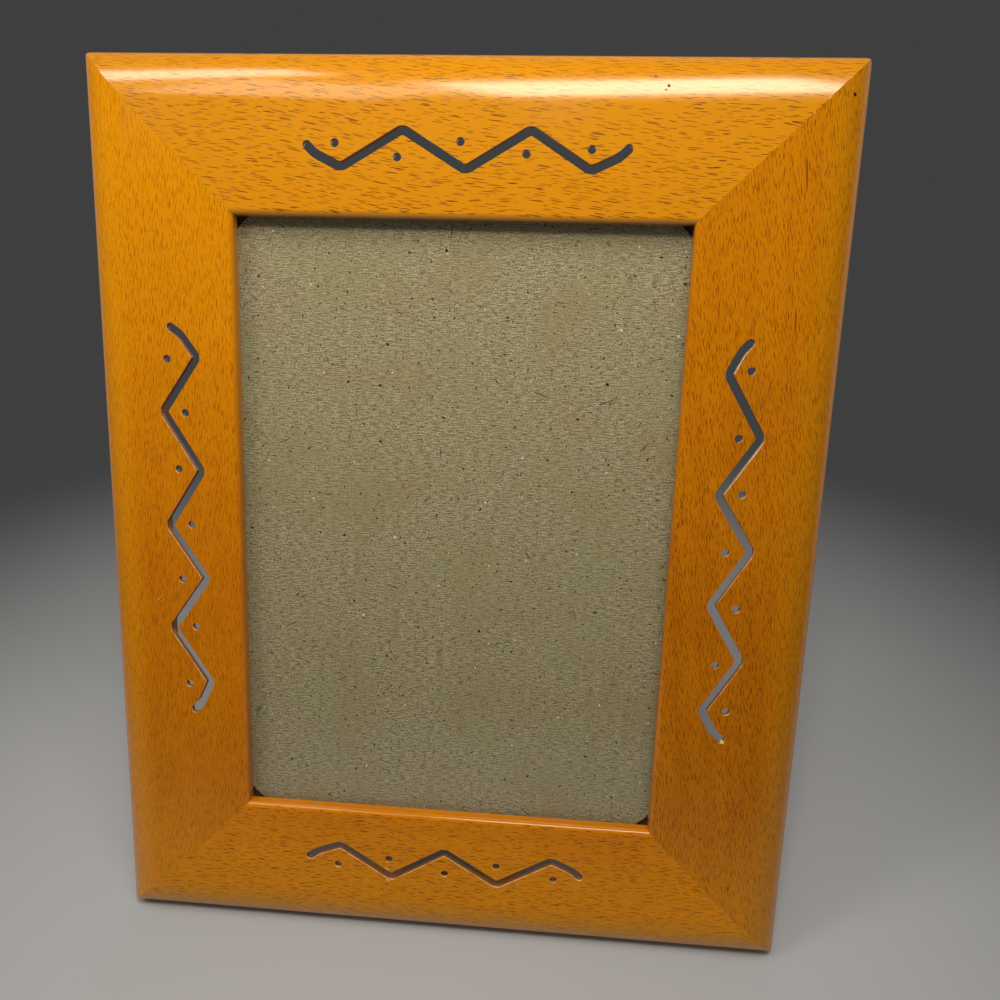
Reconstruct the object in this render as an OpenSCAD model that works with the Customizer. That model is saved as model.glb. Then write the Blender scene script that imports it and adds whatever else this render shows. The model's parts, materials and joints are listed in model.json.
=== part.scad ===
// Wooden picture frame: a mitred beech moulding with sawn zigzag fretwork and drilled dots,
// glazed, and closed by an easel back with a hinged strut. It stands on the heel of its
// bottom rail and on the strut's foot. X runs along the width, +Y to the back, +Z up.

/* [Opening and moulding] */
// Width of the opening that shows the picture
sight_w = 121; // [110:1:200]
// Height of the opening that shows the picture
sight_h = 171; // [165:1:280]
// Width of one rail, from the opening to the outer side
rail_w = 41.3; // [38:0.1:60]
// Thickness of the lip that holds the glass
lip_t = 3.7; // [3:0.1:6]
// Thickness of the wood left in front of the milled relief
web_t = 1.8; // [1.5:0.1:6]
// Width of the rabbet that takes the glass and the boards
rabbet_w = 4; // [3:0.1:6]
// Width of the ridge between rabbet and relief
ridge_w = 5; // [4.5:0.1:6]
// Width of the thick rim along the outer side
rim_w = 14; // [10:0.1:15]
// How far the rim stands behind the back panel
back_recess = 3.8; // [3.5:0.1:6]
// Width of the rounded outer shoulder
roll_w = 13.8; // [8:0.1:15]
// Radius of the rounded outer shoulder
roll_r = 19; // [16:0.1:24]
// Radius that blends the shoulder into the outer side
edge_r = 2.8; // [1:0.1:4]
// Radius of the softened edge round the opening
sight_r = 1.5; // [0.5:0.1:2.5]
// Radius of the rear outer edge that the frame stands on
heel_r = 1; // [0.5:0.1:2]
// Radius of the four outer corners, seen from the front
corner_r = 3.5; // [0.5:0.1:4]
// Radius in the bottom corners of the relief
relief_r = 1.5; // [0.5:0.1:1.8]

/* [Fretwork] */
// Width of the sawn zigzag slot
slot_w = 2.4; // [1.5:0.1:2.6]
// Diameter of the drilled dots
dot_d = 2.2; // [1.5:0.1:3]
// Distance of a dot from the zigzag's middle line
dot_off = 1.5; // [0.5:0.1:2.5]
// Length of one zig along the top and bottom rails
short_pitch = 16.2; // [14:0.1:18]
// Depth of the zigzag on the top and bottom rails
short_rise = 9.5; // [6:0.1:10]
// Distance of the zigzag's middle line from the opening, top and bottom
short_line = 16.8; // [16:0.1:20]
// Length of one zig along the side rails
long_pitch = 15.8; // [14:0.1:17]
// Depth of the zigzag on the side rails
long_rise = 10.3; // [6:0.1:11]
// Distance of the zigzag's middle line from the opening, left and right
long_line = 16.2; // [16:0.1:20]
// Length along the rail of the short hooked run at each end
end_run = 8.8; // [6:0.1:10]

/* [Glass and boards] */
// Thickness of the glass
glass_t = 2; // [1.5:0.1:3]
// Thickness of the grey filler board
board_t = 1.5; // [1:0.1:3]
// Thickness of the back panel
panel_t = 3; // [2.5:0.1:5]
// Gap between the rabbet's wall and what lies in it
pane_gap = 1; // [0.5:0.1:1.5]
// Corner radius of the filler board
board_r = 14; // [2:0.5:20]
// Corner radius of the back panel
panel_r = 2; // [1:0.5:6]

/* [Easel] */
// Backward lean of the standing frame
lean = 15; // [8:1:20]
// Angle between the back panel and the opened strut
strut_open = 26; // [22:1:32]
// Depth of the hinge axis below the panel's top edge
hinge_drop = 50; // [45:1:70]
// Thickness of the strut
strut_t = 3; // [2:0.1:4]
// Width of the strut at its top
strut_top_w = 32; // [28:1:44]
// Width of the strut at its foot
strut_foot_w = 54; // [46:1:70]
// Height of the arch between the strut's two toes
foot_arch = 5; // [2:0.5:10]
// Gap between the folded strut and the rim
fold_gap = 0.4; // [0.2:0.1:1]

/* [Hinge] */
// Length of the hinge along its pin
hinge_len = 26; // [20:1:28]
// Height of one hinge leaf
leaf_h = 18; // [14:1:24]
// Thickness of the hinge leaves
leaf_t = 0.8; // [0.5:0.1:1.2]
// Diameter of the hinge pin
pin_d = 2; // [1.6:0.1:2.2]
// Length of the middle knuckle
mid_knuckle = 10; // [8:1:12]
// Distance between the two rivets of a leaf
rivet_span = 15; // [12:1:18]

/* [Turn buttons and hanger] */
// Distance of the turn buttons above and below the middle
button_z = 55; // [40:1:60]
// Reach of a turn button from its screw to its tip
button_reach = 14; // [12:0.5:16]
// Width of a turn button
button_w = 6.4; // [5.6:0.1:6.6]
// Thickness of a turn button
button_t = 1; // [0.8:0.1:1.2]
// Diameter of the turn buttons' screws
screw_d = 2.6; // [2:0.1:3]
// Length of the screws below their heads
screw_len = 8; // [6:0.5:9]
// Depth of the hanger's eye below the panel's top edge
hanger_drop = 23; // [20:1:26]
// Width of the hanger's strap
strap_w = 8; // [6:0.5:10]
// Thickness of the strap's sheet
strap_t = 0.6; // [0.4:0.1:0.8]
// Diameter of the ring's wire
wire_d = 1.4; // [1:0.1:1.8]
// Width of the ring, from wire middle to wire middle
ring_w = 12; // [11:0.5:14]

/* [Hidden] */
$fn = 64;

// Clearances
cut = 1;             // how far a cutter runs past a face
pivot_gap = 0.06;    // radial play of what turns on a pin, a screw or a wire
snug_gap = 0.02;     // radial play of what is driven in
knuckle_gap = 0.3;   // round and beside a knuckle
slide_gap = 0.1;     // under a turn button, and at the strut's stop
turn_step = 0.03;    // how far a turn or end of the slot lies inside the edges of its runs

// Moulding
back_y = lip_t + glass_t + board_t + panel_t;
rail_t = back_y + back_recess;
outer_w = sight_w + 2 * rail_w;
outer_h = sight_h + 2 * rail_w;
relief_from = rabbet_w + ridge_w;
relief_to = rail_w - rim_w;
roll_u = rail_w - roll_w;
edge_u = rail_w - edge_r;
edge_y = roll_r - sqrt(pow(roll_r - edge_r, 2) - pow(edge_u - roll_u, 2));
blend_u = edge_u + edge_r * (edge_u - roll_u) / (roll_r - edge_r);

// Glass and boards
pane_w = sight_w + 2 * (rabbet_w - pane_gap);
pane_h = sight_h + 2 * (rabbet_w - pane_gap);
board_y = lip_t + glass_t;
panel_y = board_y + board_t;

// Hinge and strut: the axis lies axis_off behind the panel and axis_off before the strut
pin_r = pin_d / 2;
axis_off = (back_recess + fold_gap) / 2;
axis_y = back_y + axis_off;
axis_z = pane_h / 2 - hinge_drop;
knuckle_r = axis_off - knuckle_gap;
heel_len = (axis_off * cos(strut_open) + axis_off - slide_gap) / sin(strut_open);
end_knuckle = (hinge_len - mid_knuckle) / 2 - knuckle_gap;
leaf_from = knuckle_r + knuckle_gap;
rivet_drop = (leaf_from + leaf_h) / 2;

// Stance: the heel's lowest line and the strut's foot both lie on Z = 0
strut_tilt = strut_open - lean;
lift = (rail_t - heel_r) * sin(lean) - heel_r * cos(lean) + heel_r;
axis_world_y = axis_y * cos(lean) + (outer_h / 2 + axis_z) * sin(lean);
axis_world_z = (outer_h / 2 + axis_z) * cos(lean) - axis_y * sin(lean) + lift;
front_y = roll_r * cos(lean) + roll_w * sin(lean) - roll_r;
foot_y = axis_world_y + axis_world_z * tan(strut_tilt) + (axis_off + strut_t) / cos(strut_tilt);
top_y = (rail_t - heel_r) * cos(lean) + (outer_h - heel_r) * sin(lean) + heel_r;
mid_y = (front_y + max(foot_y, top_y)) / 2;
strut_len = (axis_world_z + (axis_off + strut_t) * sin(strut_tilt)) / cos(strut_tilt);

// Rivets
rivet_r = 1.2;
rivet_head_r = 2.2;
rivet_head_h = 0.8;
rivet_tail_r = 1.9;
rivet_tail_h = 0.5;

// Turn buttons
screw_r = screw_d / 2;
screw_head_r = screw_r + 1.1;
screw_head_h = 1.3;
button_u = rabbet_w + ridge_w / 2;
button_y = back_y + slide_gap;
button_x = sight_w / 2 + button_u;
tip_r = 2.4;

// Hanger
wire_r = wire_d / 2;
eye_r = wire_r + pivot_gap;
eye_outer_r = eye_r + strap_t;
eye_y = back_y + eye_outer_r;
eye_z = pane_h / 2 - hanger_drop;
strap_h = 13;
ring_bend_r = 1.5;
ring_leg = 3.5;
hanger_rivet_z = eye_z + 7.5;

// V-nails, one near each edge of the rim
v_nail_leg = 4;
v_nail_t = 0.5;
v_nail_h = 7;
v_nail_in = 0.6;     // from the relief to the inner nail's legs
v_nail_out = 2.2;    // from the outer nail to the rail's side
v_nail_u = [relief_to + v_nail_in + v_nail_leg, rail_w - v_nail_out];

// How far the saw and the drill wandered from the marked places, along and across the rail.
// Each line is one rail's zigzag, from one end to the other, and then its dots.
top_wander = [
    [1.3, 0.5], [1.3, 0], [1.3, -0.1], [1.4, -0.2], [1.8, 0.1], [1, 0.1], [1.4, 0.7]
];
top_dot_wander = [[-0.2, -0.4], [-0.1, -0.6], [0, 0.3], [0.7, 0.6], [1, -1.1]];
bottom_wander = [
    [-0.3, -0.5], [0.4, -0.3], [0, -0.2], [0, -0.4], [-0.1, -0.3], [-0.1, -0.1], [-0.2, -0.3]
];
bottom_dot_wander = [[-0.3, 0.1], [-0.7, 0.1], [0.2, 0.6], [-0.3, -0.2], [0.8, -0.3]];
left_wander = [
    [0.4, -0.7], [0.5, -0.7], [1.2, -0.3], [0.6, -0.6], [0.4, -0.6],
    [0.5, -0.3], [1.2, -0.3], [0.4, -0.1], [-0.4, 1.8]
];
left_dot_wander = [
    [-0.3, -0.9], [1.8, -0.5], [0.2, 0], [0.8, -0.4], [0.9, -0.4], [0.9, 0.1], [-0.2, 1.7]
];
right_wander = [
    [1.7, 2], [1.1, 1.2], [0.9, 0.2], [0.8, 1], [0.8, 0.2],
    [0.3, 0.5], [0.1, 0.1], [0.7, 0.5], [0.1, 0.2]
];
right_dot_wander = [
    [1.4, 1.2], [-0.7, 0.1], [0.2, 1.4], [0.3, 0.1], [0.7, 0.1], [-0.1, 0.9], [1.8, -0.4]
];
// Where the hooked end bends, as a share of its run along and across
elbow = [0.77, 0.62];
turn_cut = 0.7;

// Colours
amber = [0.85, 0.5, 0.06];
grey_board = [0.55, 0.52, 0.43];
black_velour = [0.05, 0.05, 0.055];
zinc = [0.75, 0.74, 0.7];
clear_glass = [0.8, 0.9, 0.88, 0.35];

// Stands flat work, drawn round the frame's middle, on the table with its lean
module stand() {
    translate([0, -mid_y, lift]) rotate([-lean, 0, 0]) translate([0, 0, outer_h / 2]) children();
}

// Extrudes an outline drawn in X and Z from depth y0 to depth y1
module slab(y0, y1) {
    translate([0, y1, 0]) rotate([90, 0, 0]) linear_extrude(y1 - y0) children();
}

// Extrudes a profile drawn in Y and Z along X, centred
module bar(length) {
    rotate([90, 0, 90]) translate([0, 0, -length / 2]) linear_extrude(length) children();
}

module rounded_rect(w, h, r) {
    square([w - 2 * r, h], center = true);
    square([w, h - 2 * r], center = true);
    for (x = [-1, 1], z = [-1, 1])
        translate([x * (w / 2 - r), z * (h / 2 - r)]) circle(r);
}

// A straight run of a slot between two points
module run(a, b, width) {
    d = b - a;
    translate(a) rotate(atan2(d[1], d[0])) translate([0, -width / 2]) square([norm(d), width]);
}

// The zigzag's turning points: along the rail, and across it from the zigzag's middle line
function zig_turn(i, n, pitch, rise) = [
    (i - (n - 1) / 2) * pitch,
    (i % 2 == 0 ? -1 : 1) * rise / 2
];
function zig_end(side, n, pitch) = [side * ((n - 1) / 2 * pitch + end_run), 0];
function zig_marks(n, pitch, rise) = concat(
    [zig_end(-1, n, pitch)],
    [for (i = [0:n - 1]) zig_turn(i, n, pitch, rise)],
    [zig_end(1, n, pitch)]
);
function moved(points, by) = [for (i = [0:len(points) - 1]) points[i] + by[i]];
function bend(turn, end) = [
    turn[0] + elbow[0] * (end[0] - turn[0]),
    turn[1] + elbow[1] * (end[1] - turn[1])
];
function hooked(p) = concat(
    [p[0], bend(p[1], p[0])],
    [for (i = [1:len(p) - 2]) p[i]],
    [bend(p[len(p) - 2], p[len(p) - 1]), p[len(p) - 1]]
);
function toward(a, b, d) = a + (b - a) * d / norm(b - a);
// Each turn becomes two gentler ones, turn_cut before and after it
function softened(p) = concat(
    [p[0]],
    [for (i = [1:len(p) - 2], side = [-1, 1]) toward(p[i], p[i + side], turn_cut)],
    [p[len(p) - 1]]
);
function zig_path(n, pitch, rise, wander) =
    softened(hooked(moved(zig_marks(n, pitch, rise), wander)));
function dot_marks(n, pitch) = [
    for (i = [0:n - 1]) [(i - (n - 1) / 2) * pitch, (i % 2 == 0 ? 1 : -1) * dot_off]
];

// The slot is straight runs with a round at each turn and end, a hair inside the runs' edges
module fretwork(path, dots, line) {
    translate([0, line]) {
        for (i = [0:len(path) - 2]) run(path[i], path[i + 1], slot_w);
        for (p = path) translate(p) circle(slot_w / 2 - turn_step);
        for (p = dots) translate(p) circle(dot_d / 2);
    }
}

// The moulding's section: X is the depth from the front face, Y the distance from the opening
module section() {
    difference() {
        square([rail_t, rail_w]);
        section_shoulder();
        section_sight_edge();
        section_heel();
        translate([lip_t, -cut]) square([rail_t, rabbet_w + cut]);
        translate([back_y, 0]) square([rail_t, relief_from + cut]);
        section_relief();
    }
}

// What rounding off a corner to radius r takes away, with the corner to the upper right
module corner_cut(r) {
    difference() {
        square(r + cut);
        circle(r);
    }
}

// What the rounded shoulder and its blend into the side take away
module section_shoulder() {
    difference() {
        translate([-cut, roll_u]) square([edge_y + cut, roll_w + cut]);
        translate([roll_r, roll_u]) circle(roll_r);
    }
    difference() {
        translate([-cut, blend_u]) square([edge_y + cut, rail_w - blend_u + cut]);
        translate([edge_y, edge_u]) circle(edge_r);
    }
}

module section_sight_edge() {
    translate([sight_r, sight_r]) rotate(180) corner_cut(sight_r);
}

module section_heel() {
    translate([rail_t - heel_r, rail_w - heel_r]) corner_cut(heel_r);
}

module section_relief() {
    width = relief_to - relief_from;
    translate([web_t + relief_r, relief_from]) square([rail_t, width]);
    translate([web_t, relief_from + relief_r]) square([rail_t, width - 2 * relief_r]);
    for (u = [relief_from + relief_r, relief_to - relief_r])
        translate([web_t + relief_r, u]) circle(relief_r);
}

// The rail's outline from the front, mitred, with the frame's corners softened
module mitred_outline(inner_len, side_len) {
    half = inner_len / 2;
    intersection() {
        polygon([[-half, 0], [half, 0], [half + rail_w, rail_w], [-half - rail_w, rail_w]]);
        translate([0, rail_w - side_len / 2])
            rounded_rect(inner_len + 2 * rail_w, side_len, corner_r);
    }
}

// One rail along X, with its opening edge on Z = 0 and its outer side up.
// inner_len is the opening's edge along it, side_len the frame's size across it.
module rail(inner_len, side_len, path, dots, line, screws) {
    difference() {
        intersection() {
            bar(inner_len + 2 * rail_w) section();
            slab(-cut, rail_t + cut) mitred_outline(inner_len, side_len);
        }
        slab(-cut, web_t + cut) fretwork(path, dots, line);
        for (u = v_nail_u, side = [-1, 1])
            translate([side * (inner_len / 2 + u), 0, u]) v_nail(side);
        for (x = screws) translate([x, 0, button_u]) pilot_hole();
    }
}

module pilot_hole() {
    depth = screw_len - button_t;
    translate([0, back_y + cut, 0])
        rotate([90, 0, 0]) cylinder(r = screw_r + snug_gap, h = depth + cut + snug_gap);
}

module top_rail() {
    path = zig_path(5, short_pitch, short_rise, top_wander);
    dots = moved(dot_marks(5, short_pitch), top_dot_wander);
    color(amber) stand() translate([0, 0, sight_h / 2])
        rail(sight_w, outer_h, path, dots, short_line, []);
}

module bottom_rail() {
    path = zig_path(5, short_pitch, short_rise, bottom_wander);
    dots = moved(dot_marks(5, short_pitch), bottom_dot_wander);
    color(amber) stand() mirror([0, 0, 1]) translate([0, 0, sight_h / 2])
        rail(sight_w, outer_h, path, dots, short_line, []);
}

module side_rail(path, dots) {
    rotate([0, -90, 0]) translate([0, 0, sight_w / 2])
        rail(sight_h, outer_w, path, dots, long_line, [-button_z, button_z]);
}

module left_rail() {
    path = zig_path(7, long_pitch, long_rise, left_wander);
    dots = moved(dot_marks(7, long_pitch), left_dot_wander);
    color(amber) stand() side_rail(path, dots);
}

module right_rail() {
    path = zig_path(7, long_pitch, long_rise, right_wander);
    dots = moved(dot_marks(7, long_pitch), right_dot_wander);
    color(amber) stand() mirror([1, 0, 0]) side_rail(path, dots);
}

// A V-nail with its point on the mitre and one leg in each rail, driven in flush from the back
module v_nail(side) {
    slab(rail_t - v_nail_h, rail_t) {
        translate([side > 0 ? -v_nail_leg : 0, -v_nail_t / 2]) square([v_nail_leg, v_nail_t]);
        translate([-v_nail_t / 2, -v_nail_leg]) square([v_nail_t, v_nail_leg]);
        circle(v_nail_t / 2);
    }
}

module corner_v_nails() {
    color(zinc) stand() for (z = [0, 1], side = [-1, 1], u = v_nail_u)
        mirror([0, 0, z]) translate([side * (sight_w / 2 + u), 0, sight_h / 2 + u]) v_nail(side);
}

module glass_pane() {
    color(clear_glass) stand() slab(lip_t, board_y) square([pane_w, pane_h], center = true);
}

module filler_board() {
    color(grey_board) stand() slab(board_y, panel_y) rounded_rect(pane_w, pane_h, board_r);
}

// Places of the rivets that hold the back panel's fittings, in X and Z
leaf_rivets = [for (x = [-1, 1]) [x * rivet_span / 2, axis_z - rivet_drop]];
panel_rivets = concat(leaf_rivets, [[0, hanger_rivet_z]]);

module back_panel() {
    color(black_velour) stand() difference() {
        slab(panel_y, back_y) rounded_rect(pane_w, pane_h, panel_r);
        for (p = panel_rivets) {
            slab(panel_y - cut, back_y + cut) translate(p) circle(rivet_r + snug_gap);
            slab(panel_y - cut, panel_y + rivet_tail_h + slide_gap)
                translate(p) circle(rivet_tail_r + slide_gap);
        }
    }
}

// A rivet along Y with its domed head at depth 0, pointing back, and its clinched tail in front
module rivet(grip) {
    cap_r = (pow(rivet_head_r, 2) + pow(rivet_head_h, 2)) / (2 * rivet_head_h);
    rotate([90, 0, 0]) {
        mirror([0, 0, 1]) intersection() {
            translate([0, 0, rivet_head_h - cap_r]) sphere(cap_r);
            cylinder(r = rivet_head_r, h = rivet_head_h);
        }
        cylinder(r = rivet_r, h = grip);
        translate([0, 0, grip - rivet_tail_h]) cylinder(r = rivet_tail_r, h = rivet_tail_h);
    }
}

module panel_leaf_rivets() {
    color(zinc) stand() for (p = leaf_rivets)
        translate([p[0], back_y + leaf_t, p[1]]) rivet(leaf_t + panel_t);
}

// A hinge leaf hanging down from an axis along X, with its sheet's outer face at -axis_off.
// bands are its knuckles, each from x to x.
module leaf(bands, bore_r) {
    difference() {
        union() {
            slab(-axis_off, leaf_t - axis_off)
                translate([0, -(leaf_from + leaf_h) / 2])
                rounded_rect(hinge_len, leaf_h - leaf_from, 2);
            for (b = bands) {
                translate([b[0], -axis_off, -leaf_from - 2]) cube([b[1] - b[0], leaf_t, leaf_from + 2]);
                translate([b[0], 0, 0]) rotate([0, 90, 0]) cylinder(r = knuckle_r, h = b[1] - b[0]);
            }
        }
        rotate([0, 90, 0]) cylinder(r = bore_r, h = hinge_len + 2 * cut, center = true);
        for (x = [-1, 1])
            slab(-axis_off - cut, leaf_t - axis_off + cut)
                translate([x * rivet_span / 2, -rivet_drop]) circle(rivet_r + snug_gap);
    }
}

module hinge_panel_leaf() {
    bands = [
        [-hinge_len / 2, -hinge_len / 2 + end_knuckle],
        [hinge_len / 2 - end_knuckle, hinge_len / 2]
    ];
    color(zinc) stand() translate([0, axis_y, axis_z]) leaf(bands, pin_r + snug_gap);
}

module hinge_pin() {
    color(zinc) stand() translate([0, axis_y, axis_z]) rotate([0, 90, 0]) {
        cylinder(r = pin_r, h = hinge_len + 2 * slide_gap, center = true);
        for (side = [0, 1]) mirror([0, 0, side])
            translate([0, 0, hinge_len / 2 + slide_gap]) cylinder(r1 = pin_r + 0.4, r2 = pin_r, h = 0.5);
    }
}

// Places what is drawn on the strut, with its axis at the origin and hanging down, on the hinge
module on_strut() {
    stand() translate([0, axis_y, axis_z]) rotate([strut_open, 0, 0]) children();
}

module hinge_strut_leaf() {
    color(zinc) on_strut() mirror([0, 1, 0])
        leaf([[-mid_knuckle / 2, mid_knuckle / 2]], pin_r + pivot_gap);
}

module strut_leaf_rivets() {
    color(zinc) on_strut() for (x = [-1, 1])
        translate([x * rivet_span / 2, axis_off + strut_t, -rivet_drop])
            rivet(strut_t + leaf_t + rivet_tail_h);
}

// The strut's outline: a tapered tongue with softened shoulders, long enough to be cut to the table
module strut_outline() {
    top_r = 4;
    spare = 8;
    waist_z = -leaf_h - 8;
    foot_z = -strut_len - spare;
    top_half = strut_top_w / 2;
    foot_half = strut_foot_w / 2;
    difference() {
        polygon([
            [-top_half, heel_len], [top_half, heel_len], [top_half, waist_z],
            [foot_half, foot_z], [-foot_half, foot_z], [-top_half, waist_z]
        ]);
        for (side = [0, 1]) mirror([side, 0])
            translate([top_half - top_r, heel_len - top_r]) corner_cut(top_r);
    }
}

module easel_strut() {
    arch_half = strut_foot_w / 4;
    arch_r = (pow(arch_half, 2) + pow(foot_arch, 2)) / (2 * foot_arch);
    color(black_velour) difference() {
        on_strut() difference() {
            slab(axis_off, axis_off + strut_t) strut_outline();
            slab(axis_off - cut, axis_off + strut_t + cut)
                translate([0, -strut_len + foot_arch - arch_r]) circle(arch_r);
            for (x = [-1, 1])
                slab(axis_off - cut, axis_off + strut_t + cut)
                    translate([x * rivet_span / 2, -rivet_drop]) circle(rivet_r + snug_gap);
        }
        translate([-outer_w / 2, -outer_h, -outer_h]) cube([outer_w, 2 * outer_h, outer_h]);
    }
}

// A pressed turn button on its screw, pointing to +X, with a stiffening rib along it
module turn_button() {
    rib_r = 1;
    rib_up = 0.5;
    difference() {
        union() {
            slab(0, button_t) {
                circle(button_w / 2);
                translate([0, -tip_r]) square([button_reach - tip_r, 2 * tip_r]);
                translate([button_reach - tip_r, 0]) circle(tip_r);
            }
            translate([screw_head_r + 0.6 + rib_r, button_t + rib_up - rib_r, 0]) {
                rotate([0, 90, 0]) cylinder(r = rib_r, h = button_reach - screw_head_r - 4);
                sphere(rib_r);
                translate([button_reach - screw_head_r - 4, 0, 0]) sphere(rib_r);
            }
        }
        slab(-cut, button_t + cut) circle(screw_r + pivot_gap);
        translate([0, -2 * rib_r, -button_w]) cube([button_reach, 2 * rib_r, 2 * button_w]);
    }
}

// side is -1 on the left rail and 1 on the right one; the button points to the panel
module placed_button(side, z) {
    color(zinc) stand() translate([side * button_x, button_y, z])
        mirror([side > 0 ? 1 : 0, 0, 0]) turn_button();
}

module turn_button_upper_left() {
    placed_button(-1, button_z);
}

module turn_button_lower_left() {
    placed_button(-1, -button_z);
}

module turn_button_upper_right() {
    placed_button(1, button_z);
}

module turn_button_lower_right() {
    placed_button(1, -button_z);
}

// A pan-head screw along Y, with its head's seat at depth 0 and its point to the front
module screw() {
    cap_r = (pow(screw_head_r, 2) + pow(screw_head_h, 2)) / (2 * screw_head_h);
    cross_w = 0.6;
    cross_depth = 0.8;
    tip_h = 2;
    rotate([90, 0, 0]) {
        difference() {
            mirror([0, 0, 1]) intersection() {
                translate([0, 0, screw_head_h - cap_r]) sphere(cap_r);
                cylinder(r = screw_head_r, h = screw_head_h);
            }
            for (a = [0, 90]) rotate(a)
                translate([-screw_r, -cross_w / 2, -screw_head_h - cut])
                    cube([screw_d, cross_w, cross_depth + cut]);
        }
        cylinder(r = screw_r, h = screw_len - tip_h);
        translate([0, 0, screw_len - tip_h]) cylinder(r1 = screw_r, r2 = 0.3, h = tip_h);
    }
}

module turn_button_screws() {
    color(zinc) stand() for (side = [-1, 1], z = [-button_z, button_z])
        translate([side * button_x, button_y + button_t + slide_gap, z]) screw();
}

// A strap folded round the ring's wire, with both ends flat on the panel
module hanger_strap() {
    color(zinc) stand() translate([0, 0, eye_z]) difference() {
        intersection() {
            bar(strap_w) union() {
                translate([eye_y, 0]) circle(eye_outer_r);
                translate([back_y, 0]) square([2 * strap_t, strap_h]);
            }
            slab(back_y - cut, back_y + 2 * eye_outer_r + cut)
                translate([0, strap_h / 2 - eye_outer_r]) rounded_rect(strap_w, strap_h + 2 * eye_outer_r, 2.5);
        }
        translate([0, eye_y, 0]) rotate([0, 90, 0])
            cylinder(r = eye_r, h = strap_w + 2 * cut, center = true);
        slab(back_y - cut, back_y + 2 * strap_t + cut)
            translate([0, hanger_rivet_z - eye_z]) circle(rivet_r + snug_gap);
    }
}

// A quarter or half turn of wire, drawn in X and Z round the origin
module wire_turn(turn_r, from, angle) {
    rotate([90, 0, 0]) rotate([0, 0, from])
        rotate_extrude(angle = angle) translate([turn_r, 0]) circle(wire_r);
}

// The ring hangs straight down from its eye, whatever the frame's lean
module hanger_ring() {
    half = ring_w / 2;
    inner = half - ring_bend_r;
    color(zinc) stand() translate([0, eye_y, eye_z]) rotate([lean, 0, 0]) {
        rotate([0, 90, 0]) cylinder(r = wire_r, h = 2 * inner, center = true);
        for (side = [0, 1]) mirror([side, 0, 0]) {
            translate([inner, 0, -ring_bend_r]) wire_turn(ring_bend_r, 0, 90);
            translate([half, 0, -ring_bend_r - ring_leg]) cylinder(r = wire_r, h = ring_leg);
        }
        translate([0, 0, -ring_bend_r - ring_leg]) wire_turn(half, 180, 180);
    }
}

module hanger_rivet() {
    color(zinc) stand() translate([0, back_y + 2 * strap_t, hanger_rivet_z])
        rivet(2 * strap_t + panel_t);
}

top_rail();
bottom_rail();
left_rail();
right_rail();
corner_v_nails();
glass_pane();
filler_board();
back_panel();
hinge_panel_leaf();
hinge_pin();
hinge_strut_leaf();
easel_strut();
panel_leaf_rivets();
strut_leaf_rivets();
turn_button_upper_left();
turn_button_lower_left();
turn_button_upper_right();
turn_button_lower_right();
turn_button_screws();
hanger_strap();
hanger_ring();
hanger_rivet();
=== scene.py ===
import json
import math

import bmesh
import bpy
from mathutils import Matrix, Vector

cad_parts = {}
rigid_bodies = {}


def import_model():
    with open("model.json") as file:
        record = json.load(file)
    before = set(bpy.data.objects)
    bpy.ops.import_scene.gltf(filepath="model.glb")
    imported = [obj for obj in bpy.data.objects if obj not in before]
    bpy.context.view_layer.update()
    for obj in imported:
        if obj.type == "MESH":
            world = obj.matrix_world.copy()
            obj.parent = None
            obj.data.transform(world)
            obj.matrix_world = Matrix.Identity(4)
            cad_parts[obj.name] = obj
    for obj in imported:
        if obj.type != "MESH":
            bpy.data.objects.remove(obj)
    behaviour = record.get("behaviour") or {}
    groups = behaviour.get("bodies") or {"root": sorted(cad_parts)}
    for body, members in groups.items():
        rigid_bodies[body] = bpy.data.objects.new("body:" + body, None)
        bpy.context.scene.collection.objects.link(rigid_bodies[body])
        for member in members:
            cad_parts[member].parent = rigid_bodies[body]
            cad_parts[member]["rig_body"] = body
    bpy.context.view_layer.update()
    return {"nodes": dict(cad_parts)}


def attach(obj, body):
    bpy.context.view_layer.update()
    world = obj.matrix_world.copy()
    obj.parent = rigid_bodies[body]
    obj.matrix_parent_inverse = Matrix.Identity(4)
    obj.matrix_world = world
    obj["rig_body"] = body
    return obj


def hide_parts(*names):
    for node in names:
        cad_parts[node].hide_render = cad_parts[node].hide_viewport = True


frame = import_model()
nodes = frame["nodes"]

# The flat frame (X across, Y to the back from the front face, Z up from the middle) as it stands,
# in millimetres: it leans back, and the box's middle is over the origin.
LEAN = math.radians(15)
MID_Y = 46.930745
LIFT = 3.398722
HALF_W, HALF_H = 101.8, 126.8
MM = 0.001
TO_WORLD = (Matrix.Translation((0, -MID_Y, LIFT)) @ Matrix.Rotation(-LEAN, 4, "X")
            @ Matrix.Translation((0, 0, HALF_H)))
TO_FLAT = TO_WORLD.inverted()


def stand(x, y, z):
    """A point of the flat frame, in millimetres, as it stands, in metres."""
    return (TO_WORLD @ Vector((x, y, z))) * MM


# Camera


def add_camera():
    data = bpy.data.cameras.new("camera")
    data.sensor_fit = "HORIZONTAL"
    data.sensor_width = 36
    data.lens = 26.497
    data.clip_start = 0.01
    camera = bpy.data.objects.new("camera", data)
    camera.location = (0.0263487, -0.1937628, 0.2240461)
    camera.rotation_euler = [math.radians(a) for a in (64.73093, -0.81928, 4.48925)]
    bpy.context.scene.collection.objects.link(camera)
    bpy.context.scene.camera = camera


add_camera()


# Material graphs


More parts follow.
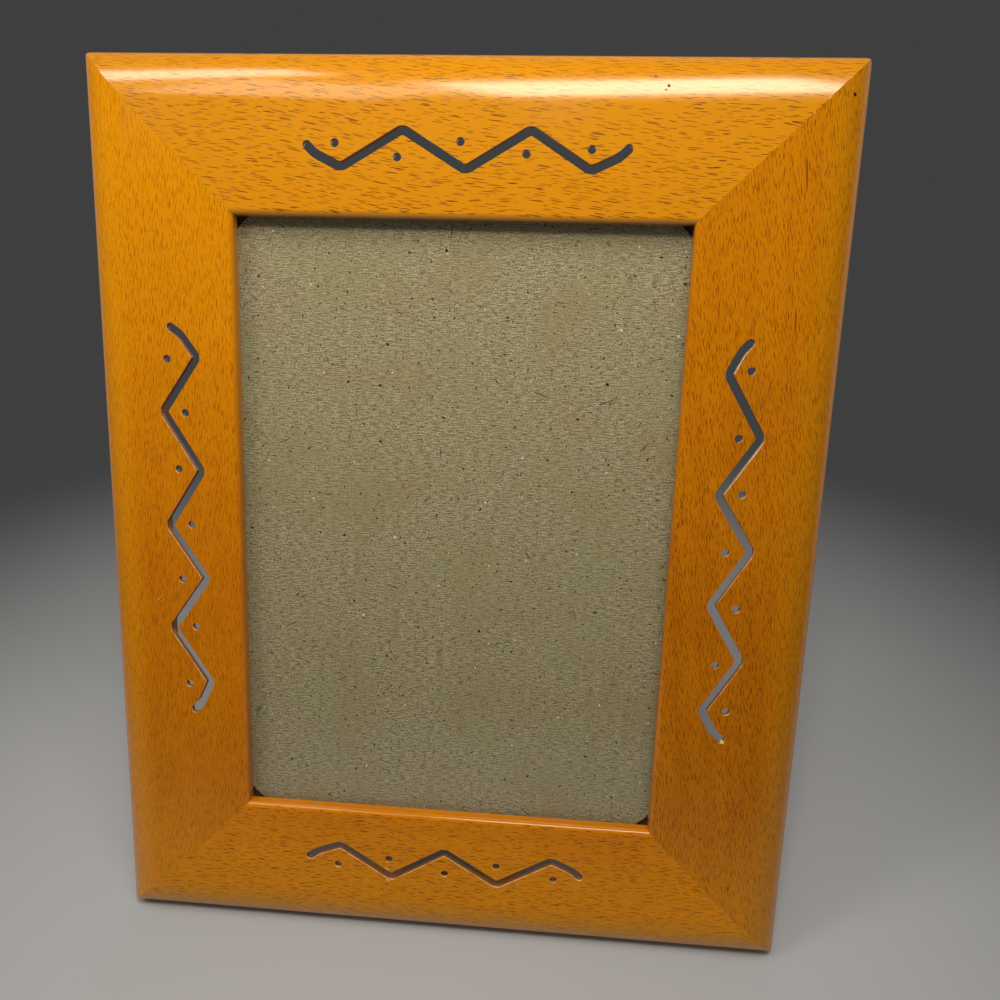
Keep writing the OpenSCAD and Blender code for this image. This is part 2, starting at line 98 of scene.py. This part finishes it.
class Graph:
    """A material's node tree, built by short calls. Values are numbers, colours or sockets."""

    def __init__(self, name):
        self.material = bpy.data.materials.new(name)
        self.material.use_nodes = True
        self.tree = self.material.node_tree
        self.tree.nodes.clear()

    def add(self, kind, values=None, **settings):
        node = self.tree.nodes.new("ShaderNode" + kind)
        for key, value in settings.items():
            setattr(node, key, value)
        for key, value in (values or {}).items():
            if isinstance(value, bpy.types.NodeSocket):
                self.tree.links.new(value, node.inputs[key])
            else:
                node.inputs[key].default_value = value
        return node

    def math(self, operation, a, b=0.0, c=0.0):
        return self.add("Math", {0: a, 1: b, 2: c}, operation=operation).outputs[0]

    def fade(self, value, low, high, out_low=0.0, out_high=1.0):
        """value from low to high as a smooth step from out_low to out_high."""
        node = self.add("MapRange", {0: value, 1: low, 2: high, 3: out_low, 4: out_high},
                        interpolation_type="SMOOTHSTEP")
        return node.outputs[0]

    def mix(self, share, a, b, blend="MIX"):
        node = self.add("Mix", {0: share, 6: a, 7: b}, data_type="RGBA", blend_type=blend)
        return node.outputs[2]

    def flat_frame(self):
        """Millimetres across, to the back and up in the flat frame."""
        place = self.add("TexCoord").outputs["Object"]
        move = TO_FLAT.to_translation()
        return self.add("Mapping", {"Vector": place, "Location": move, "Rotation": (LEAN, 0, 0),
                                    "Scale": (1000, 1000, 1000)}).outputs[0]

    def scaled(self, vector, *scale, move=(0, 0, 0)):
        return self.add("Mapping", {"Vector": vector, "Location": move, "Scale": scale}).outputs[0]

    def noise(self, vector, scale=1.0, detail=2.0, roughness=0.5):
        node = self.add("TexNoise", {"Vector": vector, "Scale": scale, "Detail": detail,
                                     "Roughness": roughness})
        return node.outputs["Fac"]

    def principled(self, **values):
        named = {key.replace("_", " ").title().replace("Ior", "IOR"): value
                 for key, value in values.items()}
        return self.add("BsdfPrincipled", named)

    def bump(self, height, depth_mm, strength=1.0):
        return self.add("Bump", {"Height": height, "Distance": depth_mm * MM,
                                 "Strength": strength}).outputs[0]

    def finish(self, shader):
        self.add("OutputMaterial", {"Surface": shader.outputs[0]})
        return self.material


def grey(value):
    return (value, value, value, 1)


def wood(name, across, seed, fleck, spread, share, depth, streak, figure, tilt, rim_light, painted_top_light, tone,
         shoulder_light, gloss, marks):
    """Stained beech with short dark flecks that run along the rail. fleck is a fleck's length and
    width in millimetres, tone is how light the board is, and marks are ellipses: x, z, half sizes,
    turn and colour."""
    g = Graph(name)
    flat = g.flat_frame()
    parts = g.add("SeparateXYZ", {0: flat}).outputs
    x, y, z = parts[0], parts[1], parts[2]
    run, side = (x, z) if across else (z, x)
    from_side = g.math("SUBTRACT", HALF_W, g.math("ABSOLUTE", x))
    from_end = g.math("SUBTRACT", HALF_H, g.math("ABSOLUTE", z))
    inward = g.math("MINIMUM", from_side, from_end)
    seam = g.math("ABSOLUTE", g.math("SUBTRACT", from_side, from_end))
    # Across the rail, over the shoulder and down its outer side, a little wavy
    around = g.math("ADD", g.math("ABSOLUTE", side), y)
    drift = g.noise(g.scaled(flat, 0.02, 0.02, 0.02, move=(seed * 3.7, seed, seed * 2.3)), detail=1)
    around = g.math("MULTIPLY_ADD", drift, 5.0, around)
    around = g.math("MULTIPLY_ADD", run, tilt, around)
    jitter = g.noise(g.scaled(flat, 0.5, 0.5, 0.5, move=(seed, seed, 0)), detail=1)
    bent = g.math("MULTIPLY_ADD", jitter, 0.3, around)
    grain = g.add("CombineXYZ", {0: run, 1: around, 2: 0.0}).outputs[0]
    flecks = None
    for turn, (part, most, slant) in enumerate(((1.0, share, 0.37), (0.55, share * 0.5, -0.29))):
        across_cells = 2 / (fleck[1] * spread * (1 + part))
        lane = g.math("MULTIPLY_ADD", bent, across_cells, seed * 7.1)
        along = g.math("MULTIPLY_ADD", run, 1 / (fleck[0] * spread * part), seed * 5.3 + turn * 31)
        along = g.math("MULTIPLY_ADD", lane, slant, along)
        place = g.add("CombineXYZ", {0: along, 1: lane, 2: 0.0}).outputs[0]
        cells = g.add("TexVoronoi", {"Vector": place, "Scale": 1.0, "Randomness": 0.8},
                      voronoi_dimensions="2D")
        chance = g.add("SeparateColor", {0: cells.outputs["Color"]}).outputs
        chosen = g.fade(chance[0], 1 - most, 1.02 - most)
        size = g.math("MULTIPLY_ADD", chance[2], 0.34 / spread, 0.36 / spread)
        shape = g.fade(g.math("DIVIDE", cells.outputs["Distance"], size), 1.08, 0.88)
        dark = g.math("MULTIPLY_ADD", chance[1], 0.6, 0.4)
        layer = g.math("MULTIPLY", g.math("MULTIPLY", chosen, shape), dark)
        flecks = layer if flecks is None else g.math("MAXIMUM", flecks, layer)
    flecks = g.math("MULTIPLY", flecks, g.fade(inward, 40.9, 40.3))
    # Fine streaks, growth bands and cloudy stain
    fine = g.noise(g.scaled(grain, 0.13, 3.3, 1, move=(0, seed, 0)), detail=3, roughness=0.6)
    band = g.noise(g.scaled(grain, 0.012, 0.2, 1, move=(0, seed * 3, 0)), detail=3)
    cloud = g.noise(g.scaled(flat, 0.03, 0.03, 0.03, move=(seed, 0, 0)), detail=2)
    tint = g.math("ADD", g.math("MULTIPLY_ADD", fine, streak, -streak / 2),
                  g.math("MULTIPLY_ADD", band, figure, -figure / 2))
    tint = g.math("ADD", tint, g.math("MULTIPLY_ADD", cloud, 0.5, 0.25))
    colour = g.mix(g.fade(tint, 0.1, 0.9), AMBER, UMBER)
    # Painted light: the rail is painted lighter and yellower towards the top, where the light falls
    colour = g.mix(g.fade(z, -30.0, 120.0, 0.0, painted_top_light), colour, TOP_LIGHT_HONEY)
    colour = g.mix(1.0, colour, grey(tone), "MULTIPLY")
    colour = g.mix(g.fade(z, -75.0, -115.0, 0.0, 0.55), colour, GOLD)
    # Painted light: the shoulder is painted lighter and yellower, as the lamps light it, by another
    # amount on each rail
    colour = g.mix(g.fade(inward, 14.0, 6.0, 0.0, 0.7), colour, shoulder_light)
    colour = g.mix(g.math("MULTIPLY", flecks, depth), colour, FLECK)
    # Painted rim light: the side and back are painted paler and pinker from where the shoulder turns
    # into the side
    rim_light_mask = g.math("MULTIPLY", g.fade(y, 3.3, 5.2), g.fade(fine, 0.2, 0.8, rim_light * 0.7, rim_light))
    colour = g.mix(rim_light_mask, colour, RIM_LIGHT_TINT)
    fret = g.math("MULTIPLY", g.fade(inward, 13.9, 14.4), g.fade(inward, 32.2, 31.9))
    # Painted highlight: a pale line, in patches, along the eased front edges of the slots
    patchy = g.noise(g.scaled(flat, 0.35, 0.35, 0.35, move=(seed * 2.1, 0, seed)), detail=2)
    edge_highlight = g.math("MULTIPLY", fret, g.fade(y, 0.04, 0.12))
    edge_highlight = g.math("MULTIPLY", edge_highlight, g.fade(patchy, 0.35, 0.55, 0.35, 1.0))
    edge_highlight = g.math("MULTIPLY", edge_highlight, g.fade(seam, 0.2, 0.4))
    colour = g.mix(edge_highlight, colour, EDGE_HIGHLIGHT)
    inside = g.math("MULTIPLY", fret, g.fade(y, 0.3, 0.4))
    bare = g.math("MAXIMUM", inside, g.fade(y, 13.2, 13.9, 0.0, 0.6))
    colour = g.mix(bare, colour, g.mix(fine, BARE, BARE_DARK))
    # Painted shade: the slot walls through the web are painted dark brown
    colour = g.mix(g.math("MULTIPLY", inside, g.fade(y, 1.78, 1.7)), colour, SLOT_WALL_SHADE)
    # Pale chips along the mitre, and single marks, of which the dark pit marks are painted shade
    nick = g.noise(g.scaled(flat, 0.9, 0.9, 0.9, move=(seed, 0, seed)), detail=1)
    chips = g.math("MULTIPLY", g.fade(seam, 0.4, 0.15), g.fade(nick, 0.62, 0.70, 0.0, 0.8))
    chips = g.math("MULTIPLY", chips, g.fade(inward, 26.0, 20.0))
    chips = g.math("MULTIPLY", chips, g.fade(x, 0.0, 1.0))
    colour = g.mix(chips, colour, CHIP)
    dull = g.math("MAXIMUM", bare, edge_highlight)
    for at_x, at_z, half_x, half_z, turn, mark in marks:
        place = g.add("Mapping", {"Vector": flat, "Location": (at_x, 0, at_z),
                                  "Rotation": (0, math.radians(turn), 0),
                                  "Scale": (half_x, 1000, half_z)}, vector_type="TEXTURE")
        out = g.add("VectorMath", {0: place.outputs[0]}, operation="LENGTH").outputs["Value"]
        spot = g.math("MULTIPLY", g.fade(out, 1.15, 0.8), g.fade(y, 6.0, 5.0))
        colour = g.mix(spot, colour, mark)
        dull = g.math("MAXIMUM", dull, spot)
    rough = g.math("MULTIPLY_ADD", fine, 0.08, 0.16)
    rough = g.math("MULTIPLY_ADD", dull, 0.4, rough)
    height = g.math("ADD", g.math("MULTIPLY", flecks, -0.35), g.math("MULTIPLY", fine, 0.25))
    relief = g.bump(height, 0.012)
    lacquer = g.math("MULTIPLY_ADD", dull, -gloss, gloss)
    bead = g.math("ADD", lacquer, g.fade(inward, 40.2, 40.8, 0.0, 0.9 - gloss))
    return g.finish(g.principled(base_color=colour, roughness=rough, normal=relief,
                                 specular_ior_level=gloss, specular_tint=(1.0, 0.92, 0.6, 1),
                                 coat_weight=bead, coat_roughness=0.12, coat_ior=1.55))


AMBER = (0.58, 0.185, 0.001, 1)
UMBER = (0.43, 0.118, 0.001, 1)
# Painted light: the lighter, yellower colour painted towards the top
TOP_LIGHT_HONEY = (0.60, 0.232, 0.001, 1)
GOLD = (0.66, 0.25, 0.001, 1)
FLECK = (0.10, 0.016, 0.001, 1)
# Painted rim light along the outer side
RIM_LIGHT_TINT = (0.52, 0.27, 0.13, 1)
# Painted highlight on the slot edges
EDGE_HIGHLIGHT = (0.88, 0.64, 0.36, 1)
BARE = (0.46, 0.23, 0.09, 1)
BARE_DARK = (0.30, 0.13, 0.045, 1)
# Painted shade in the slots
SLOT_WALL_SHADE = (0.24, 0.09, 0.02, 1)
CHIP = (0.74, 0.46, 0.14, 1)
# Painted shade: the dark inside of a small pit, drawn as a spot
PIT_SHADE = (0.03, 0.01, 0.003, 1)
SAP = (0.15, 0.032, 0.002, 1)
SCRATCH = (0.62, 0.34, 0.06, 1)
WOODS = {
    "top_rail": wood(
        "beech_top", across=True, seed=1, fleck=(2.8, 0.19), spread=3.0, share=0.85, depth=1.0,
        streak=0.8, figure=0.3, tilt=0.09, rim_light=0.2, painted_top_light=0.9, tone=0.97,
        shoulder_light=(0.58, 0.215, 0.001, 1), gloss=0.7, marks=(
            (48.2, 120.4, 0.35, 0.3, 0, SAP), (51.5, 117.9, 0.4, 0.4, 0, PIT_SHADE),
            (50.8, 116.9, 0.25, 0.3, 0, SAP))),
    "bottom_rail": wood(
        "beech_bottom", across=True, seed=2, fleck=(2.2, 0.17), spread=2.8, share=0.75, depth=1.0,
        streak=0.9, figure=0.4, tilt=-0.03, rim_light=0.8, painted_top_light=0.0, tone=1.1,
        shoulder_light=(0.77, 0.32, 0.001, 1), gloss=0.15, marks=(
            (-17.5, -104.3, 0.8, 0.25, 20, CHIP), (-17.2, -108.0, 0.8, 0.25, 10, CHIP))),
    "left_rail": wood(
        "beech_left", across=False, seed=3, fleck=(1.9, 0.15), spread=2.5, share=0.8, depth=0.72,
        streak=1.2, figure=0.3, tilt=0.0, rim_light=0.8, painted_top_light=0.8, tone=0.98,
        shoulder_light=(0.67, 0.25, 0.001, 1), gloss=0.18, marks=(
            (-85.2, -21.4, 1.5, 0.1, -50, SCRATCH),)),
    "right_rail": wood(
        "beech_right", across=False, seed=4, fleck=(1.8, 0.15), spread=2.5, share=0.75, depth=0.95,
        streak=0.9, figure=0.8, tilt=0.11, rim_light=0.7, painted_top_light=0.35, tone=0.84,
        shoulder_light=(0.53, 0.2, 0.001, 1), gloss=0.18, marks=(
            (97.0, 116.9, 0.45, 0.5, 0, PIT_SHADE), (86.7, 97.8, 0.2, 4.4, -6, SAP),
            (87.6, 62.9, 0.16, 2.7, -6, SAP), (79.3, -55.4, 0.6, 0.35, 40, CHIP))),
}


SPECKS = (
    # cell, share of cells, half length, half width in millimetres, colour
    (9.0, 0.55, 0.42, 0.22, (0.012, 0.010, 0.006, 1)),
    (4.1, 0.6, 0.26, 0.16, (0.02, 0.016, 0.009, 1)),
    (2.6, 0.45, 0.4, 0.11, (0.06, 0.045, 0.024, 1)),
    (14.0, 0.6, 1.6, 0.1, (0.03, 0.024, 0.012, 1)),
    (12.0, 0.5, 0.28, 0.18, (0.8, 0.76, 0.6, 1)),
)


def chipboard():
    g = Graph("grey_chipboard")
    parts = g.add("SeparateXYZ", {0: g.flat_frame()}).outputs
    sheet = g.add("CombineXYZ", {0: parts[0], 1: parts[2], 2: 0.0}).outputs[0]
    fibres = g.noise(g.scaled(sheet, 0.45, 2.7, 1), detail=3, roughness=0.66)
    fine = g.noise(g.scaled(sheet, 2.0, 4.2, 1, move=(7, 3, 0)), detail=2, roughness=0.6)
    cloud = g.noise(g.scaled(sheet, 0.035, 0.035, 1), detail=2)
    rust = g.noise(g.scaled(sheet, 0.05, 0.05, 1, move=(30, 11, 0)), detail=2)
    tint = g.math("ADD", g.math("MULTIPLY", fibres, 0.5), g.math("MULTIPLY", fine, 0.5))
    colour = g.mix(g.fade(tint, 0.4, 0.6), (0.165, 0.128, 0.066, 1), (0.50, 0.405, 0.235, 1))
    colour = g.mix(g.fade(cloud, 0.4, 0.7, 0.0, 0.35), colour, (0.30, 0.265, 0.12, 1))
    colour = g.mix(g.fade(rust, 0.45, 0.7, 0.0, 0.35), colour, (0.32, 0.21, 0.10, 1))
    bend = g.add("TexNoise", {"Vector": g.scaled(sheet, 1.1, 1.1, 1), "Scale": 1.0, "Detail": 1.0})
    bent = g.add("VectorMath", {0: bend.outputs["Color"], 1: (0.7, 0.7, 0.0), 2: sheet},
                 operation="MULTIPLY_ADD").outputs[0]
    for cell, share, half_long, half_wide, tone in SPECKS:
        place = g.scaled(bent, 1 / cell, 1 / cell, 1, move=(cell, cell, 0))
        cells = g.add("TexVoronoi", {"Vector": place, "Scale": 1.0}, voronoi_dimensions="2D")
        chance = g.add("SeparateColor", {0: cells.outputs["Color"]}).outputs
        away = g.add("VectorMath", {0: place, 1: cells.outputs["Position"]}, operation="SUBTRACT")
        turned = g.add("VectorRotate", {"Vector": away.outputs[0],
                                        "Angle": g.math("MULTIPLY", chance[2], math.pi)},
                       rotation_type="Z_AXIS").outputs[0]
        out = g.add("VectorMath", {0: turned, 1: (cell / half_long, cell / half_wide, 0.0)},
                    operation="MULTIPLY").outputs[0]
        out = g.add("VectorMath", {0: out}, operation="LENGTH").outputs["Value"]
        out = g.math("DIVIDE", out, g.math("MULTIPLY_ADD", chance[1], 0.8, 0.5))
        speck = g.math("MULTIPLY", g.fade(chance[0], 1 - share, 1.01 - share), g.fade(out, 1.2, 0.7))
        colour = g.mix(speck, colour, tone)
    return g.finish(g.principled(base_color=colour, roughness=0.9, normal=g.bump(tint, 0.6),
                                 specular_ior_level=0.2))


def velour():
    g = Graph("black_velour")
    flat = g.flat_frame()
    nap = g.noise(g.scaled(flat, 9, 9, 9), detail=3, roughness=0.7)
    brushed = g.noise(g.scaled(flat, 0.05, 0.05, 0.02), detail=2)
    lint = g.add("TexVoronoi", {"Vector": g.scaled(flat, 0.25, 0.25, 0.25), "Scale": 1.0})
    chance = g.add("SeparateColor", {0: lint.outputs["Color"]}).outputs
    colour = g.mix(g.fade(nap, 0.3, 0.7), (0.008, 0.008, 0.009, 1), (0.035, 0.034, 0.037, 1))
    colour = g.mix(g.fade(brushed, 0.35, 0.65, 0.0, 0.5), colour, (0.05, 0.049, 0.053, 1))
    speck = g.math("MULTIPLY", g.fade(chance[0], 0.95, 0.96),
                   g.fade(lint.outputs["Distance"], 0.08, 0.05))
    colour = g.mix(speck, colour, (0.25, 0.24, 0.23, 1))
    return g.finish(g.principled(base_color=colour, roughness=0.95, normal=g.bump(nap, 0.12),
                                 sheen_weight=0.5, sheen_roughness=0.4,
                                 sheen_tint=(0.6, 0.6, 0.65, 1), specular_ior_level=0.1))


def metal(name, colour, rim_light_mask, rough, grain, depth):
    g = Graph(name)
    flat = g.flat_frame()
    brushed = g.noise(g.scaled(flat, *grain), detail=3, roughness=0.6)
    cloud = g.noise(g.scaled(flat, 0.35, 0.35, 0.35), detail=3)
    tone = g.mix(g.fade(cloud, 0.35, 0.7), colour, rim_light_mask)
    tone = g.mix(g.fade(brushed, 0.3, 0.7, 0.0, 0.3), tone, rim_light_mask)
    roughness = g.math("MULTIPLY_ADD", cloud, 0.22, rough - 0.11)
    return g.finish(g.principled(base_color=tone, metallic=1.0, roughness=roughness,
                                 normal=g.bump(brushed, depth)))


def clear_glass():
    """Lets the lamps through to what lies behind it."""
    g = Graph("clear_glass")
    dust = g.noise(g.scaled(g.flat_frame(), 0.05, 0.05, 0.05), detail=4)
    pane = g.principled(base_color=(0.97, 0.99, 0.98, 1), transmission_weight=1.0, ior=1.45,
                        specular_ior_level=0.2, roughness=g.fade(dust, 0.3, 0.8, 0.0, 0.04))
    path = g.add("LightPath").outputs
    lamp_ray = g.math("MAXIMUM", path["Is Shadow Ray"], path["Is Diffuse Ray"])
    open_way = g.add("BsdfTransparent", {"Color": (0.95, 0.97, 0.96, 1)})
    mixed = g.add("MixShader", {0: lamp_ray, 1: pane.outputs[0], 2: open_way.outputs[0]})
    return g.finish(mixed)


CHIPBOARD = chipboard()
VELOUR = velour()
GLASS = clear_glass()
ZINC = metal("zinc_plate", (0.66, 0.66, 0.64, 1), (0.46, 0.46, 0.44, 1), 0.36, (0.6, 6, 6), 0.004)
WIRE = metal("bright_wire", (0.72, 0.72, 0.70, 1), (0.5, 0.5, 0.48, 1), 0.25, (3, 3, 3), 0.002)
NICKEL = metal("nickel_rivet", (0.74, 0.71, 0.64, 1), (0.55, 0.51, 0.44, 1), 0.24, (4, 4, 4), 0.002)
SCREW = metal("zinc_screw", (0.68, 0.68, 0.67, 1), (0.42, 0.41, 0.40, 1), 0.34, (5, 5, 5), 0.004)

FINISHES = {
    "corner_v_nails": WIRE, "glass_pane": GLASS, "back_panel": VELOUR,
    "hinge_panel_leaf": ZINC, "hinge_pin": WIRE, "hinge_strut_leaf": ZINC, "easel_strut": VELOUR,
    "panel_leaf_rivets": NICKEL, "strut_leaf_rivets": NICKEL, "turn_button_screws": SCREW,
    "hanger_strap": ZINC, "hanger_ring": WIRE, "hanger_rivet": NICKEL, "filler_board": CHIPBOARD,
    "turn_button_upper_left": ZINC, "turn_button_lower_left": ZINC,
    "turn_button_upper_right": ZINC, "turn_button_lower_right": ZINC,
}


def dress(obj, material):
    """Puts one material in all of an object's slots."""
    if not obj.material_slots:
        obj.data.materials.append(material)
    for place in obj.material_slots:
        place.link = "OBJECT"
        place.material = material


for name, finish in FINISHES.items():
    dress(nodes[name], finish)


# Rails with eased edges


SAWN_EDGE, MITRE_EDGE = 0.3, 0.07


def on_mitre(point):
    """True for a point of a mesh that lies on one of the four mitre planes."""
    x, _, z = TO_FLAT @ (point / MM)
    return abs((HALF_W - abs(x)) - (HALF_H - abs(z))) < 0.02


def ease(bm, width_mm, wanted):
    """Rounds the sharp edges that wanted picks, by much less where short edges leave no room."""
    sharp = [e for e in bm.edges if len(e.link_faces) == 2
             and e.calc_face_angle(0) > math.radians(35) and wanted(e)]
    bmesh.ops.bevel(bm, geom=sharp, offset=width_mm * MM, offset_type="OFFSET", segments=2,
                    profile=0.5, affect="EDGES", clamp_overlap=True)


def eased_rail(node, material):
    """A copy of a rail with its sharp edges rounded, which stands for the rail."""
    name = node + "_eased"
    mesh = nodes[node].data.copy()
    mesh.name = name
    bm = bmesh.new()
    bm.from_mesh(mesh)
    bmesh.ops.remove_doubles(bm, verts=bm.verts, dist=1e-6)
    bmesh.ops.dissolve_limit(bm, angle_limit=math.radians(0.6), verts=bm.verts, edges=bm.edges)
    ease(bm, MITRE_EDGE, lambda e: on_mitre(e.verts[0].co) and on_mitre(e.verts[1].co))
    ease(bm, SAWN_EDGE, lambda e: not (on_mitre(e.verts[0].co) or on_mitre(e.verts[1].co)))
    bm.to_mesh(mesh)
    bm.free()
    mesh.materials.clear()
    mesh.materials.append(material)
    for polygon in mesh.polygons:
        polygon.use_smooth = True
    mesh.set_sharp_from_angle(angle=math.radians(40))
    piece = bpy.data.objects.new(name, mesh)
    bpy.context.scene.collection.objects.link(piece)
    level = piece.modifiers.new("flat_faces", "WEIGHTED_NORMAL")
    level.keep_sharp = True
    level.weight = 100
    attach(piece, nodes[node]["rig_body"])
    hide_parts(node)
    return piece


for node, material in WOODS.items():
    eased_rail(node, material)


# Glass


def clear_of_board(node, material, inset_mm):
    """A copy of the glass whose two faces stand a hair off what they touch."""
    mesh = nodes[node].data.copy()
    mesh.name = node + "_clear"
    places = [TO_FLAT @ (v.co / MM) for v in mesh.vertices]
    middle = sum(place.y for place in places) / len(places)
    for vertex, place in zip(mesh.vertices, places):
        place.y += inset_mm if place.y < middle else -inset_mm
        vertex.co = stand(*place)
    mesh.materials.clear()
    mesh.materials.append(material)
    piece = bpy.data.objects.new(mesh.name, mesh)
    bpy.context.scene.collection.objects.link(piece)
    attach(piece, nodes[node]["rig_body"])
    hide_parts(node)


clear_of_board("glass_pane", GLASS, 0.04)


# Stage


BACKDROP, FILL = 0.05, 0.2
FLOOR_FADE, FLOOR_END = 0.12, 0.46


def add_floor():
    """A round pale floor that fades into the backdrop."""
    mesh = bpy.data.meshes.new("floor")
    bm = bmesh.new()
    bmesh.ops.create_circle(bm, cap_ends=True, segments=96, radius=FLOOR_END)
    bm.to_mesh(mesh)
    bm.free()
    floor = bpy.data.objects.new("floor", mesh)
    bpy.context.scene.collection.objects.link(floor)
    g = Graph("pale_floor")
    place = g.add("TexCoord").outputs["Object"]
    out = g.add("VectorMath", {0: place}, operation="LENGTH").outputs["Value"]
    soft = g.noise(g.scaled(place, 3, 3, 3), detail=2)
    colour = g.mix(soft, grey(0.38), grey(0.43))
    pale = g.principled(base_color=colour, roughness=0.8, specular_ior_level=0.2)
    clear = g.add("BsdfTransparent")
    mixed = g.add("MixShader", {0: g.fade(out, FLOOR_FADE, FLOOR_END), 1: pale.outputs[0],
                                2: clear.outputs[0]})
    mesh.materials.append(g.finish(mixed))


def add_area(name, at, to, size_x, size_y, watts, in_reflections=True):
    """A lamp at one point that faces another, both in metres."""
    data = bpy.data.lights.new(name, "AREA")
    data.shape = "RECTANGLE"
    data.size, data.size_y = size_x * MM, size_y * MM
    data.energy = watts
    data.color = (1.0, 0.96, 0.9)
    lamp = bpy.data.objects.new(name, data)
    lamp.location = at
    lamp.rotation_euler = (to - at).to_track_quat("-Z", "Y").to_euler()
    lamp.visible_camera = False
    lamp.visible_glossy = in_reflections
    lamp.visible_transmission = in_reflections
    bpy.context.scene.collection.objects.link(lamp)


def add_world():
    """One light for the object, and another that the camera, gloss and glass see."""
    world = bpy.data.worlds.new("studio")
    bpy.context.scene.world = world
    world.use_nodes = True
    tree = world.node_tree
    tree.nodes.clear()

    def add(kind, *inputs, operation=None):
        node = tree.nodes.new("ShaderNode" + kind)
        if operation:
            node.operation = operation
        for place, value in enumerate(inputs):
            if isinstance(value, bpy.types.NodeSocket):
                tree.links.new(value, node.inputs[place])
            else:
                node.inputs[place].default_value = value
        return node.outputs

    path = add("LightPath")
    seen = add("Math", path["Is Camera Ray"], path["Is Glossy Ray"], operation="MAXIMUM")[0]
    seen = add("Math", seen, path["Is Transmission Ray"], operation="MAXIMUM")[0]
    fill = add("Background", grey(1), FILL)[0]
    shown = add("Background", grey(1), BACKDROP)[0]
    add("OutputWorld", add("MixShader", seen, fill, shown)[0])


add_floor()
add_world()
# The key lamps shade, and the softboxes are what the lacquer shows
add_area("key", stand(20, -200, 192), stand(0, 0, 30), 40, 40, 0.3, in_reflections=False)
add_area("key_left", stand(-215, -200, 190), stand(0, 0, 0), 60, 60, 0.2, in_reflections=False)
add_area("softbox", stand(81, -297, 425), stand(0, 0, 60), 330, 240, 0.4)
add_area("softbox_inner", stand(81, -290, 418), stand(0, 0, 60), 290, 160, 0.92)
add_area("left_softbox", stand(-157, -297, 335), stand(0, 0, 60), 180, 150, 0.18)
add_area("left_spot", stand(-300, -200, 430), stand(-60, 0, 100), 90, 320, 0.5)
add_area("rear", Vector((0.0, 0.9, 0.09)), Vector((0.0, 0.0, 0.09)), 600, 160, 2.4)
bpy.context.scene.view_settings.view_transform = "Standard"
